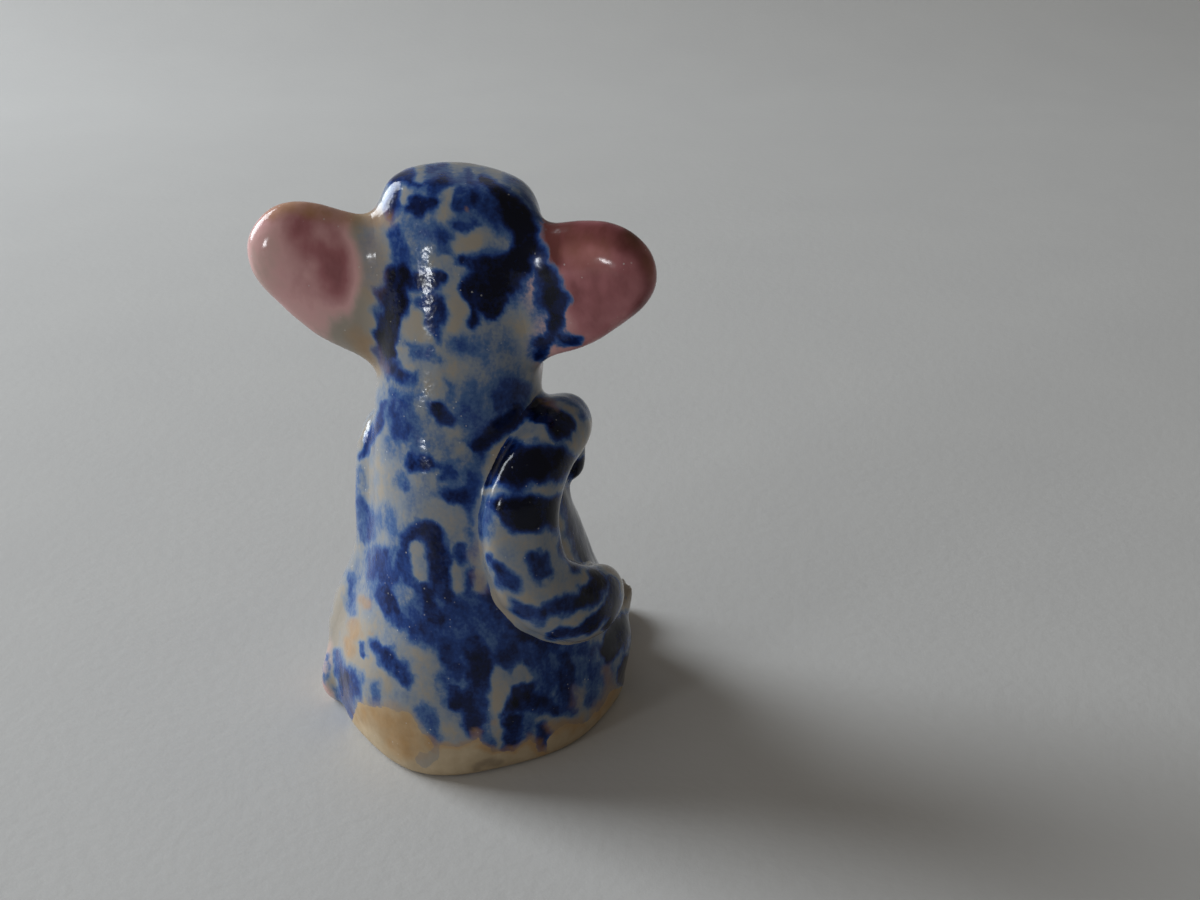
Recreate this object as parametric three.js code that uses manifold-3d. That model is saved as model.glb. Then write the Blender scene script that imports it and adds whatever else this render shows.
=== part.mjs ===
// A seated monkey figurine, hand-built in clay, glazed and fired.
// Each lump, coil and pad of clay is its own solid, luted to the next one with a layer of slip.
// Millimetres, +Z up. The origin is on the flat base, and the monkey faces -Y, so its right is at -X.

import * as THREE from "three";
import { mergeVertices } from "three/addons/utils/BufferGeometryUtils.js";
import Module from "manifold-3d";

const wasm = await Module();
wasm.setup();

// Driving dimensions: joints
const SLIP_GAP = 0.3; // layer of slip between two luted pieces

// Driving dimensions: body, a pear with a three-lobed seat
const BASE_WIDTH = 39.5;
const BASE_DEPTH = 36;
const BASE_FORWARD = 2.5; // how far the seat's middle lies in front of the origin
const BASE_ASIDE = 0.7; // and how far it lies to the monkey's left
const SEAT_HEIGHT = 8;
const SEAT_SWELL = 1.2; // how much wider and deeper the seat is than the base
const SEAT_LOBES = 0.065; // swell of the tail end and the two hips, as a share of the radius
const SEAT_SHARPNESS = 1; // of the lobes: 1 is a smooth wave, and more is flatter between narrower lobes
const BASE_SHARPNESS = 3;
const LOBE_TURN = 2; // degrees that the lobes are turned to the monkey's left
const WAIST_HEIGHT = 22;
const WAIST_WIDTH = 30.5;
const WAIST_DEPTH = 30.5;
const WAIST_ASIDE = -0.6; // to the monkey's right
const CHEST_HEIGHT = 35;
const CHEST_WIDTH = 24.5;
const CHEST_DEPTH = 23;
const CHEST_ASIDE = -0.4;
const NECK_HEIGHT = 46;
const NECK_WIDTH = 20.5;
const NECK_DEPTH = 17;
const NECK_ASIDE = 0.9; // to the monkey's left
const NECK_DOME = 4.5; // rounded top of the neck, inside the head

// Driving dimensions: head
const HEAD_WIDTH = 20.5;
const HEAD_DEPTH = 22;
const HEAD_HEIGHT = 29.4;
const HEAD_SINK = 1.5; // how far the head comes down over the neck
const HEAD_FORWARD = 1.5;
const CROWN_SQUARENESS = 0.39; // 1 is an egg, and less is flatter on top
const JAW_SQUARENESS = 0.55;
const CROWN_SLOPE = 4; // fall of the crown towards the monkey's right, in degrees
const NAPE_SLOPE = 12; // lean of the back of the head, forwards as it rises, in degrees

// Driving dimensions: face, a heart-shaped pad with a muzzle
const FACE_DEPTH = 8;
const FACE_RAISED = 2; // how far the pad stands out of the head
const FACE_DROP = 1; // of its middle below the middle of the head
const CHEEKS_WIDTH = 17;
const CHEEKS_HEIGHT = 14;
const BROW_WIDTH = 10;
const BROW_HEIGHT = 11;
const BROW_SPACING = 7.4;
const BROW_RISE = 3.5; // above the middle of the face
const MUZZLE_WIDTH = 13;
const MUZZLE_HEIGHT = 9.5;
const MUZZLE_DEPTH = 10;
const MUZZLE_DROP = 6; // below the middle of the face
const EYE_DIAMETER = 3;
const EYE_SPACING = 6.4;
const EYE_RISE = 3; // above the middle of the face

// Driving dimensions: ears
const EAR_LENGTH = 15; // from the head's side to the tip
const EAR_ROOT_HEIGHT = 21.5;
const EAR_TIP_HEIGHT = 9.5;
const EAR_THICKNESS = 6;
const EAR_HOLLOW = 2; // depth of the thumb press in the front
const EAR_SWEEP = 15; // degrees that the tips point back
const EAR_FORWARD = 1.4; // of the root in front of the head's middle
const LEFT_EAR_RISE = 7; // of the tip above the root
const RIGHT_EAR_RISE = 5.8;
const RIGHT_EAR_LIFT = 2.1; // the right ear's root sits this much higher than the left one's
const RIGHT_EAR_SHARE = 0.9; // and the ear is this share of its height
const EAR_DROP = 1.25; // of the middle of the root below the middle of the head

// Driving dimensions: arms
const ARM_WIDTH = 10.5;
const ARM_THICKNESS = 8;
const SHOULDER_WIDTH = 8;
const RIGHT_SHOULDER_DROP = 2.5; // below the neck
const LEFT_SHOULDER_DROP = 6.8;
const HAND_LENGTH = 9;
const HAND_WIDTH = 8;
const HAND_THICKNESS = 5;
const WRIST_RISE = 4; // of the right wrist's middle above the knee

// Driving dimensions: legs
const LEG_WIDTH = 11;
const LEG_THICKNESS = 9;
const KNEE_HEIGHT = 9.5;
const FOOT_LENGTH = 14;
const FOOT_WIDTH = 9;
const FOOT_HEIGHT = 6.5;

// Facets
const BODY_FACETS = 40;
const BASE_ROWS = 4;
const WALL_ROWS = 17;
const DOME_ROWS = 5;
const HEAD_FACETS = 36;
const HEAD_ROWS = 22;
const LIMB_FACETS = 18;
const LIMB_ROWS = 24;
const PAD_FACETS = 20;
const PAD_ROWS = 12;
const BEAD_FACETS = 12;

const radians = THREE.MathUtils.degToRad;
const between = THREE.MathUtils.lerp;

// Solids

// A closed geometry as a solid, with its faces turned outwards.
function solid(geometry) {
  const bare = geometry.clone();
  bare.deleteAttribute("normal");
  bare.deleteAttribute("uv");
  const merged = mergeVertices(bare, 1e-4);
  const corners = merged.index.array;
  const triangles = [];
  for (let i = 0; i < corners.length; i += 3) {
    const [a, b, c] = corners.slice(i, i + 3);
    if (a !== b && b !== c && c !== a) triangles.push(a, b, c);
  }
  const make = (triVerts) =>
    new wasm.Manifold(
      new wasm.Mesh({
        numProp: 3,
        vertProperties: merged.attributes.position.array,
        triVerts: new Uint32Array(triVerts),
      }),
    );
  const made = make(triangles);
  return made.volume() > 0 ? made : make(triangles.reverse());
}

// A ball of clay pressed into a shape. pointAt(along, angle) says where the clay at that share of the
// way from one pole to the other, and at that angle round it, ends up.
function pressed(around, along, pointAt) {
  const ball = new THREE.SphereGeometry(1, around, along);
  const place = ball.attributes.position;
  const from = new THREE.Vector3();
  for (let i = 0; i < place.count; i++) {
    from.fromBufferAttribute(place, i);
    const share = Math.acos(THREE.MathUtils.clamp(from.y, -1, 1)) / Math.PI;
    const to = pointAt(share, Math.atan2(from.z, -from.x));
    place.setXYZ(i, to.x, to.y, to.z);
  }
  return solid(ball);
}

// A ball squeezed to three half sizes about a centre.
function ellipsoid({ centre, half }, grow = 0, around = PAD_FACETS) {
  const ball = new THREE.SphereGeometry(1, around, PAD_ROWS);
  ball.rotateX(Math.PI / 2);
  ball.scale(half.x + grow, half.y + grow, half.z + grow);
  ball.translate(centre.x, centre.y, centre.z);
  return solid(ball);
}

// The front (lowest Y) of a squeezed ball, at one place across it.
function frontOf({ centre, half }, x, z) {
  const across = (x - centre.x) / half.x;
  const up = (z - centre.z) / half.z;
  return centre.y - half.y * Math.sqrt(Math.max(0, 1 - across * across - up * up));
}

// A coil of clay along a path of stops. Each stop has a place, the way its thickness points, a half
// width and a half thickness. The ends are rounded over a share of the length.
function coil(stops, grow = 0, endShare = 0.1) {
  const path = new THREE.CatmullRomCurve3(stops.map((stop) => stop.place));
  const sections = new THREE.CubicInterpolant(
    stops.map((_, i) => i / (stops.length - 1)),
    stops.flatMap((stop) => [stop.halfWidth, stop.halfThickness, ...stop.out.toArray()]),
    5,
  );
  return pressed(LIMB_FACETS, LIMB_ROWS, (share, angle) => {
    const ends = Math.cos(share * Math.PI);
    const t = (1 - ends) / 2;
    const [halfWidth, halfThickness, ...outward] = sections.evaluate(t);
    const tangent = path.getTangent(t);
    const out = new THREE.Vector3().fromArray(outward).projectOnPlane(tangent).normalize();
    const side = new THREE.Vector3().crossVectors(tangent, out);
    const toEnd = Math.max(0, 1 - Math.min(t, 1 - t) / endShare);
    const round = Math.sqrt(1 - toEnd ** 2);
    return path
      .getPoint(t)
      .addScaledVector(tangent, -ends * grow)
      .addScaledVector(side, Math.cos(angle) * round * (halfWidth + grow))
      .addScaledVector(out, Math.sin(angle) * round * (halfThickness + grow));
  });
}

// Body

const seatWidth = BASE_WIDTH + SEAT_SWELL;
const seatDepth = BASE_DEPTH + SEAT_SWELL;
const section = (width, depth, aside, forward, lobes, sharpness) =>
  [width / 2, depth / 2, aside, -forward, lobes, sharpness];
const bodyHeights = [0, SEAT_HEIGHT, WAIST_HEIGHT, CHEST_HEIGHT, NECK_HEIGHT];
const bodySection = new THREE.CubicInterpolant(
  bodyHeights,
  [
    section(BASE_WIDTH, BASE_DEPTH, BASE_ASIDE, BASE_FORWARD, SEAT_LOBES, BASE_SHARPNESS),
    section(seatWidth, seatDepth, BASE_ASIDE, BASE_FORWARD, SEAT_LOBES, SEAT_SHARPNESS),
    section(WAIST_WIDTH, WAIST_DEPTH, WAIST_ASIDE, BASE_FORWARD / 2, SEAT_LOBES / 2, SEAT_SHARPNESS),
    section(CHEST_WIDTH, CHEST_DEPTH, CHEST_ASIDE, 0, 0, SEAT_SHARPNESS),
    section(NECK_WIDTH, NECK_DEPTH, NECK_ASIDE, 0, 0, SEAT_SHARPNESS),
  ].flat(),
  6,
);

// A place on the body's surface. The angle runs from the middle of the back towards the monkey's right.
function onBody(degrees, height, standoff = 0, share = 1) {
  const [halfWidth, halfDepth, aside, back, lobes, sharpness] = bodySection.evaluate(
    THREE.MathUtils.clamp(height, 0, NECK_HEIGHT),
  );
  const angle = radians(degrees);
  const wave = (1 + Math.cos(3 * radians(degrees + LOBE_TURN))) / 2;
  const swell = share * (1 + lobes * (2 * wave ** sharpness - 1));
  return new THREE.Vector3(
    aside - Math.sin(angle) * (halfWidth * swell + standoff),
    back + Math.cos(angle) * (halfDepth * swell + standoff),
    height,
  );
}

// The way out of the body at an angle.
const outOfBody = (degrees) => new THREE.Vector3(-Math.sin(radians(degrees)), Math.cos(radians(degrees)), 0);

function makeBody(grow = 0) {
  const rows = BASE_ROWS + WALL_ROWS + DOME_ROWS;
  return pressed(BODY_FACETS, rows, (along, angle) => {
    const row = Math.round(along * rows);
    const degrees = THREE.MathUtils.radToDeg(angle);
    if (row <= BASE_ROWS) {
      return onBody(degrees, 0, (grow * row) / BASE_ROWS, row / BASE_ROWS).setZ(-grow);
    }
    if (row <= BASE_ROWS + WALL_ROWS) {
      return onBody(degrees, (NECK_HEIGHT * (row - BASE_ROWS)) / WALL_ROWS, grow);
    }
    const rise = (Math.PI / 2) * ((row - BASE_ROWS - WALL_ROWS) / DOME_ROWS);
    const place = onBody(degrees, NECK_HEIGHT, grow * Math.cos(rise), Math.cos(rise));
    return place.setZ(NECK_HEIGHT + (NECK_DOME + grow) * Math.sin(rise));
  });
}

// Head

const headBottom = NECK_HEIGHT - HEAD_SINK;
const headMiddle = new THREE.Vector3(0, -HEAD_FORWARD, headBottom + HEAD_HEIGHT / 2);

const power = (value, exponent) => Math.sign(value) * Math.abs(value) ** exponent;

function makeHead(grow = 0) {
  const slope = Math.tan(radians(CROWN_SLOPE));
  const lean = Math.tan(radians(NAPE_SLOPE));
  return pressed(HEAD_FACETS, HEAD_ROWS, (along, angle) => {
    const squareness = along > 0.5 ? CROWN_SQUARENESS : JAW_SQUARENESS;
    const round = Math.sin(along * Math.PI) ** squareness;
    const rise = power(-Math.cos(along * Math.PI), squareness);
    const x = -Math.sin(angle) * round * (HEAD_WIDTH / 2 + grow);
    const leaning = Math.cos(angle) > 0 ? (lean * HEAD_HEIGHT * (1 + rise)) / 2 : 0;
    const y = Math.cos(angle) * round * (HEAD_DEPTH / 2 + grow - leaning);
    const z = rise * (HEAD_HEIGHT / 2 + grow) + (rise > 0 ? x * slope * rise : 0);
    return new THREE.Vector3(x, y, z).add(headMiddle);
  });
}

// Face

const faceMiddle = new THREE.Vector3(
  0,
  headMiddle.y - HEAD_DEPTH / 2 + FACE_DEPTH / 2 - FACE_RAISED,
  headMiddle.z - FACE_DROP,
);
const cheeks = {
  centre: faceMiddle.clone().setZ(faceMiddle.z - BROW_RISE),
  half: new THREE.Vector3(CHEEKS_WIDTH, FACE_DEPTH, CHEEKS_HEIGHT).divideScalar(2),
};
const brow = (side) => ({
  centre: new THREE.Vector3((side * BROW_SPACING) / 2, faceMiddle.y, faceMiddle.z + BROW_RISE),
  half: new THREE.Vector3(BROW_WIDTH, FACE_DEPTH, BROW_HEIGHT).divideScalar(2),
});
const muzzleShape = {
  centre: new THREE.Vector3(0, frontOf(cheeks, 0, faceMiddle.z - MUZZLE_DROP), faceMiddle.z - MUZZLE_DROP),
  half: new THREE.Vector3(MUZZLE_WIDTH, MUZZLE_DEPTH, MUZZLE_HEIGHT).divideScalar(2),
};

const makeFace = (grow = 0) =>
  [brow(-1), brow(1)].reduce((face, lobe) => face.add(ellipsoid(lobe, grow)), ellipsoid(cheeks, grow));

const makeMuzzle = () => ellipsoid(muzzleShape);

function makeEye(side) {
  const x = (side * EYE_SPACING) / 2;
  const z = faceMiddle.z + EYE_RISE;
  const front = Math.min(frontOf(cheeks, x, z), frontOf(brow(side), x, z));
  const ball = {
    centre: new THREE.Vector3(x, front, z),
    half: new THREE.Vector3().setScalar(EYE_DIAMETER / 2),
  };
  return ellipsoid(ball, 0, BEAD_FACETS);
}

// Ears

// A place in an ear: how far it is from the head's middle, and its share of the way up to the tip.
function inEar(side, out, share) {
  const rise = side < 0 ? RIGHT_EAR_LIFT + RIGHT_EAR_RISE * share : LEFT_EAR_RISE * share;
  return new THREE.Vector3(
    side * out,
    headMiddle.y - EAR_FORWARD + Math.tan(radians(EAR_SWEEP)) * out,
    headMiddle.z - EAR_DROP + rise,
  );
}

// The way that the front of an ear looks.
const earFront = (side) =>
  new THREE.Vector3(side * Math.sin(radians(EAR_SWEEP)), -Math.cos(radians(EAR_SWEEP)), 0);

function makeEar(side) {
  const headSide = HEAD_WIDTH / 2;
  const shapes = [
    [headSide * 0.4, 0, EAR_ROOT_HEIGHT],
    [headSide + EAR_LENGTH * 0.15, 0.33, EAR_ROOT_HEIGHT * 0.84],
    [headSide + EAR_LENGTH * 0.6, 0.84, EAR_ROOT_HEIGHT * 0.66],
    [headSide + EAR_LENGTH, 1, EAR_TIP_HEIGHT],
  ];
  const stops = shapes.map(([out, share, height]) => ({
    place: inEar(side, out, share),
    out: earFront(side),
    halfWidth: (height / 2) * (side < 0 ? RIGHT_EAR_SHARE : 1),
    halfThickness: EAR_THICKNESS / 2,
  }));
  return coil(stops, 0, 0.24);
}

// The hollow that a thumb presses into the front of an ear.
function earHollow(side) {
  const press = {
    centre: inEar(side, HEAD_WIDTH / 2 + EAR_LENGTH * 0.5, 0.65),
    half: new THREE.Vector3(EAR_LENGTH * 0.36, EAR_HOLLOW, EAR_TIP_HEIGHT * 0.55),
  };
  press.centre.addScaledVector(earFront(side), EAR_THICKNESS / 2);
  return ellipsoid(press);
}

// Limbs

// A stop of a limb's coil on the body: angle round the body, height, and how far its middle stands out of
// the body, as a share of its half thickness.
const stopAt = (degrees, height, standoff, halfWidth, halfThickness) => ({
  place: onBody(degrees, height, standoff * halfThickness),
  out: outOfBody(degrees),
  halfWidth,
  halfThickness,
});

const armThick = ARM_THICKNESS / 2;
const armWide = ARM_WIDTH / 2;
const shoulderWide = SHOULDER_WIDTH / 2;

const kneeTop = KNEE_HEIGHT + LEG_WIDTH / 2;

// Heights along the arms, as a share of the way from the shoulder down to the hand.
const rightArmHeight = (share) => between(NECK_HEIGHT - RIGHT_SHOULDER_DROP, kneeTop + WRIST_RISE, share);
const leftArmHeight = (share) => between(NECK_HEIGHT - LEFT_SHOULDER_DROP, HAND_LENGTH * 0.75, share);

// The right arm is bent, its elbow back and its hand on the knee. It starts in front of the shoulder.
const rightArmStops = [
  stopAt(114, rightArmHeight(0.43), 0.5, shoulderWide * 0.5, shoulderWide * 0.5),
  stopAt(118, rightArmHeight(0.1), 0.62, shoulderWide * 0.8, shoulderWide * 0.8),
  stopAt(98, rightArmHeight(0), 0.62, shoulderWide, shoulderWide),
  stopAt(60, rightArmHeight(0.1), 0.5, armWide * 0.9, armThick),
  stopAt(45, rightArmHeight(0.38), 0.2, armWide, armThick),
  stopAt(48, rightArmHeight(0.7), 0.2, armWide, armThick),
  stopAt(72, rightArmHeight(0.92), 0.25, armWide, armThick),
  stopAt(104, rightArmHeight(1), 0.25, armWide * 0.9, armThick),
];

// The left arm hangs at the side, its hand by the hip.
const leftArmStops = [
  stopAt(-126, leftArmHeight(0), 0, shoulderWide * 0.8, shoulderWide * 0.8),
  stopAt(-104, leftArmHeight(0), 0, shoulderWide, shoulderWide * 0.8),
  stopAt(-92, leftArmHeight(0.24), -0.15, armWide * 0.85, armThick * 0.8),
  stopAt(-90, leftArmHeight(0.5), -0.38, armWide * 0.9, armThick * 0.8),
  stopAt(-90, leftArmHeight(0.8), -0.58, armWide * 0.9, armThick * 0.7),
  stopAt(-86, leftArmHeight(1), -0.36, armWide * 0.85, armThick * 0.7),
];

const makeArm = (side, grow = 0) => coil(side < 0 ? rightArmStops : leftArmStops, grow);

// The hands are pads at the ends of the arms: the right one on the knee, the left one beside the hip.
const rightHand = {
  centre: onBody(123, kneeTop - HAND_THICKNESS * 0.4, -HAND_THICKNESS * 0.16),
  half: new THREE.Vector3(HAND_WIDTH, HAND_LENGTH, HAND_THICKNESS).divideScalar(2),
};
const leftHand = {
  centre: onBody(-77, HAND_LENGTH * 0.4, -HAND_THICKNESS * 0.02),
  half: new THREE.Vector3(HAND_THICKNESS, HAND_WIDTH, HAND_LENGTH).divideScalar(2),
};

const makeHand = (side) => ellipsoid(side < 0 ? rightHand : leftHand);

const legWide = LEG_WIDTH / 2;
const legThick = LEG_THICKNESS / 2;

const legStops = (side) => [
  stopAt(-side * 88, KNEE_HEIGHT * 0.7, -0.9, legWide, legThick),
  stopAt(-side * 108, KNEE_HEIGHT, -0.85, legWide, legThick),
  stopAt(-side * 128, KNEE_HEIGHT, -0.5, legWide * 0.95, legThick),
  stopAt(-side * 140, KNEE_HEIGHT * 0.6, 0, legWide * 0.85, legThick * 0.9),
  stopAt(-side * 146, KNEE_HEIGHT * 0.2, 0.28, legWide * 0.8, legThick * 0.8),
];

const makeLeg = (side, grow = 0) => coil(legStops(side), grow, 0.15);

function makeFoot(side) {
  const heel = onBody(-side * 148, 0, FOOT_LENGTH * 0.07);
  const reach = new THREE.Vector3((side * FOOT_WIDTH) / 6, -FOOT_LENGTH * 0.36, FOOT_HEIGHT * 0.3);
  const pad = {
    centre: heel.clone().add(reach),
    half: new THREE.Vector3(FOOT_WIDTH / 2, FOOT_LENGTH / 2, FOOT_HEIGHT * 0.7),
  };
  return ellipsoid(pad);
}

// Everything above the surface that the figurine stands on.
function aboveTable(made) {
  const side = 4 * (NECK_HEIGHT + HEAD_HEIGHT);
  const above = new THREE.BoxGeometry(side, side, side).translate(0, 0, side / 2);
  return made.intersect(solid(above));
}

// Assembly

const cut = (made, ...cutters) => cutters.reduce((rest, cutter) => rest.subtract(cutter), made);

const BLUE_GLAZE = 0x6c7fae;
const PINK_GLAZE = 0xd9a3a6;
const DARK_GLAZE = 0x1c1a22;

const figurine = new THREE.Group();

function place(name, made, color) {
  const { vertProperties, triVerts } = made.getMesh();
  const geometry = new THREE.BufferGeometry();
  geometry.setAttribute("position", new THREE.BufferAttribute(vertProperties, 3));
  geometry.setIndex(new THREE.BufferAttribute(triVerts, 1));
  geometry.computeVertexNormals();
  const glaze = new THREE.MeshStandardMaterial({ color, roughness: 0.2, metalness: 0 });
  const mesh = new THREE.Mesh(geometry, glaze);
  mesh.name = name;
  figurine.add(mesh);
}

const bodySeat = makeBody(SLIP_GAP);
const headSeat = makeHead(SLIP_GAP);
const faceSeat = makeFace(SLIP_GAP);

place("body", makeBody(), BLUE_GLAZE);
place("head", cut(makeHead(), bodySeat), BLUE_GLAZE);
place("face", cut(makeFace(), headSeat, bodySeat), PINK_GLAZE);
place("muzzle", cut(makeMuzzle(), headSeat, faceSeat, bodySeat), PINK_GLAZE);

for (const [sideName, side] of [["left", 1], ["right", -1]]) {
  const legSeat = makeLeg(side, SLIP_GAP);
  const armSeat = makeArm(side, SLIP_GAP);
  const handSeats = [bodySeat, legSeat, armSeat];
  place(`${sideName}_eye`, cut(makeEye(side), faceSeat), DARK_GLAZE);
  place(`${sideName}_ear`, cut(makeEar(side), headSeat, earHollow(side)), PINK_GLAZE);
  place(`${sideName}_leg`, aboveTable(cut(makeLeg(side), bodySeat)), BLUE_GLAZE);
  place(`${sideName}_foot`, aboveTable(cut(makeFoot(side), bodySeat, legSeat)), PINK_GLAZE);
  place(`${sideName}_arm`, aboveTable(cut(makeArm(side), bodySeat, headSeat, legSeat)), BLUE_GLAZE);
  place(`${sideName}_hand`, aboveTable(cut(makeHand(side), ...handSeats)), PINK_GLAZE);
}

export default figurine;
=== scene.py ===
"""The looks of a seated monkey figurine: hand-built clay under a glossy glaze, with cobalt brushwork.

The CAD solids are melted into one clay form, as slip and glaze do, and the form is then parted again into
one closed piece for each CAD node. Lengths are in millimetres until a mesh is made, which is in metres.
"""

import math

import bmesh
import bpy
import numpy as np
import openvdb as vdb
from mathutils import Matrix, Vector


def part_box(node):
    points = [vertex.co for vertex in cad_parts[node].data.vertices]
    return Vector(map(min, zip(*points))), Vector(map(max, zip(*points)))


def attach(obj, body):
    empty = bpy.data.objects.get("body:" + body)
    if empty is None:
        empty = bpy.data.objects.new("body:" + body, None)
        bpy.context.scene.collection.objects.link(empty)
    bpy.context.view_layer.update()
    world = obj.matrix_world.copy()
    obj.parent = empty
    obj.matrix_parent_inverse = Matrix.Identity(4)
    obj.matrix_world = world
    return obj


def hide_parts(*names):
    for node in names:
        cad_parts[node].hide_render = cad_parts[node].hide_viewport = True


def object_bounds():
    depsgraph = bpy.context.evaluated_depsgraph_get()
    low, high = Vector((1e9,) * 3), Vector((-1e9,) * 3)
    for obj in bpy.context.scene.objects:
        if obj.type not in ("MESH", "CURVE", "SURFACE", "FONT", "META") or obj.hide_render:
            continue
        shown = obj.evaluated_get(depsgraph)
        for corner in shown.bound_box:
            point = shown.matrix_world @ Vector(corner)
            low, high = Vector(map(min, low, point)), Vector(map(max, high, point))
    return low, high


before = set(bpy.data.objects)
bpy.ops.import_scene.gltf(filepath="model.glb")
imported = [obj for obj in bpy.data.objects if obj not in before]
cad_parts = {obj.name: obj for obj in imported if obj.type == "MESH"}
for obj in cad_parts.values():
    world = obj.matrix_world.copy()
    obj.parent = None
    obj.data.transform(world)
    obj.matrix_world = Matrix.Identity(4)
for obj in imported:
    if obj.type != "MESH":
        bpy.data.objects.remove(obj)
cad_box = [list(corner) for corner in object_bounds()]

MM = 0.001

# The clay form
VOXEL = 0.4
BAND = 6.0  # how far from a surface distances are kept
MARGIN = 3.0  # air left round the form in the grid
MELT_RADIUS = 0.8  # softening of every edge and facet
HAND_LUMPS = 0.18  # depth of the unevenness left by fingers
LUMP_SIZE = 13
SMALL_LUMP_SIZE = 5
SMALL_LUMP_SHARE = 0.4
LUMPS_SET_IN = (0.5, 4)  # heights above the floor
SOFT_SEAM = 1.2  # width of the fillet where two pieces meet
SEAMS = {
    "head": 4.5,
    "left_ear": 3.6,
    "right_ear": 3.6,
    "face": 1.6,
    "left_arm": 2.2,
    "left_hand": 2.2,
    "right_arm": 0.8,
    "right_hand": 2.5,
}
LAP = 1.2  # how far a piece reaches under its neighbours
LAP_DEPTH = 0.4
EYES = ("left_eye", "right_eye")
EYE_WIDTH = 0.96  # share of the bead's height
EYE_DIMPLE = 0.2  # shares of the bead's radius
EYE_DIMPLE_SPREAD = 0.3
EYE_DIMPLE_RISE = 0.1

# Details pressed into the clay
SEARCH_LENGTH = 30  # how far a search for the surface goes
SEARCH_STEP = 0.05
APPROACH = 6  # how far outside a piece a search for its surface starts
MUZZLE_APPROACH = 12  # from the muzzle's middle
GROOVE_SOFTNESS = 0.5
MOUTH_HALF_WIDTH = 4.6
MOUTH_DROP = 1.6  # of its middle below the muzzle's middle
MOUTH_CURVE = 0.07  # how fast it rises to the sides
MOUTH_POINTS = 11
MOUTH_RADIUS = 0.45
NOSTRIL_SIDE = 1.4
NOSTRIL_RISE = 2.4
NOSTRIL_DEPTH = 0.3
NOSTRIL_RADIUS = 0.55
TOE_SHARES = (0.3, 0.5, 0.7)  # places of the grooves across a foot
TOE_ENDS = (0.8, 1.2)  # from the floor and from the top of the foot
TOE_POINTS = 5
TOE_RADIUS = 0.4
RIGHT_FINGER_SHARES = (0.3, 0.52, 0.74)
RIGHT_FINGER_ENDS = (1, 0.8)  # from the hand's underside and top
LEFT_FINGER_SHARES = (0.28, 0.5, 0.72)
LEFT_FINGER_START = 0.6
LEFT_FINGER_TOP = 0.6  # share of the hand's height
FINGER_POINTS = 4
FINGER_RADIUS = 0.35

# The paint, in pixels of the photograph's frame and in millimetres
SOFT_EDGE = 8.5  # least softness of a stroke's edge, for a stroke that is wider than that
STROKE_SOFTNESS = 0.95  # of a broad stroke's edge, as a share of half the brush's width
WASH_SOFTNESS = 1.2
PINK_SOFTNESS = 2.0
EDGE_SHIFT = 2.0  # how far a stroke's edge wanders
EDGE_WAVES = (3.5, 1.4)
SHIFT_SETS_IN = (0.1, 0.6)  # of how far the surface faces the camera
RAGGED_WAVES = (4.5, 1.9)  # of the width of a stroke
RAGGED_SHARES = (0.08, 0.04)
HARD_EDGE = 1.7  # the more colour a stroke has, taken from this, the harder its edge
INNER_EDGE = 0.6  # how far a soft edge reaches inside its outline, as a share of how far outside
STROKE_POWER = 4  # how sharply the fuller of two crossing strokes wins
SEEN_FACING = (-0.5, -0.15)
SIGHT_CELL = 4
SIGHT_DEPTH = 5.0
SIGHT_SHIFTS = (-10, -5, 0, 5, 10)
SIGHT_ENOUGH = 0.3  # share of the cells round a place
HIDDEN_PINK = (0.55, 0.3)  # mean and unevenness
HIDDEN_PINK_WAVE = 9
WRIST_FADE = (0.5, -2.5)  # from the middle of the right hand
HIDDEN_DABS = 760
DAB_SIZES = (1.5, 3.4)
DAB_SHORTENING = (0.1, 0.6)
DAB_COLOURS = (0.45, 1.0)
DAB_EDGE = (1.25, 0.7)
GLAZE_EDGE_SOFTNESS = 2.5
HIDDEN_GLAZE_EDGE = (3.6, 2.6)  # heights of all glaze and all clay, at the sides that aren't in sight
CLAY_TOP = (14, 11)  # heights of no bare clay and of any

# The stage, in metres
SHEET_FRONT = -0.6
SHEET_TOP = 1.2
SHEET_SIDES = (-0.4, 0.6)
SWEEP_START = 0.35
SWEEP_RADIUS = 0.25
SWEEP_STEPS = 12

# The camera, in the photograph's frame of 1200 by 900 pixels
PHOTO_WIDTH = 1200
PHOTO_HEIGHT = 900
FOCAL_PIXELS = 1500
CAMERA_PLACE = np.array([-58.5, 160.7, 122.0])
CAMERA_HEADING = 14.25  # degrees that the camera looks towards +X of -Y
CAMERA_PITCH = 26.0
SENSOR_WIDTH = 36
NEAREST_SEEN = 0.01


def smoothstep(low, high, value):
    share = np.clip((value - low) / (high - low), 0, 1)
    return share * share * (3 - 2 * share)


# Camera

heading = math.radians(CAMERA_HEADING)
pitch = math.radians(CAMERA_PITCH)
level = np.array([math.sin(heading), -math.cos(heading), 0.0])
camera_right = np.cross(level, [0, 0, 1])
camera_forward = level * math.cos(pitch) - np.array([0, 0, math.sin(pitch)])
camera_up = np.cross(camera_right, camera_forward)


def in_photo(points):
    """Where points in millimetres come in the photograph's frame, and how deep they lie."""
    ray = points - CAMERA_PLACE
    depth = ray @ camera_forward
    across = PHOTO_WIDTH / 2 + FOCAL_PIXELS * (ray @ camera_right) / depth
    down = PHOTO_HEIGHT / 2 - FOCAL_PIXELS * (ray @ camera_up) / depth
    return across, down, depth


def add_camera():
    data = bpy.data.cameras.new("camera")
    data.sensor_width = SENSOR_WIDTH
    data.lens = FOCAL_PIXELS / PHOTO_WIDTH * SENSOR_WIDTH
    data.clip_start = NEAREST_SEEN
    camera = bpy.data.objects.new("camera", data)
    turn = Matrix((camera_right, camera_up, -camera_forward)).transposed().to_4x4()
    camera.matrix_world = Matrix.Translation(Vector(CAMERA_PLACE * MM)) @ turn
    bpy.context.scene.collection.objects.link(camera)
    bpy.context.scene.camera = camera


# The clay form as a field of distances

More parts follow.
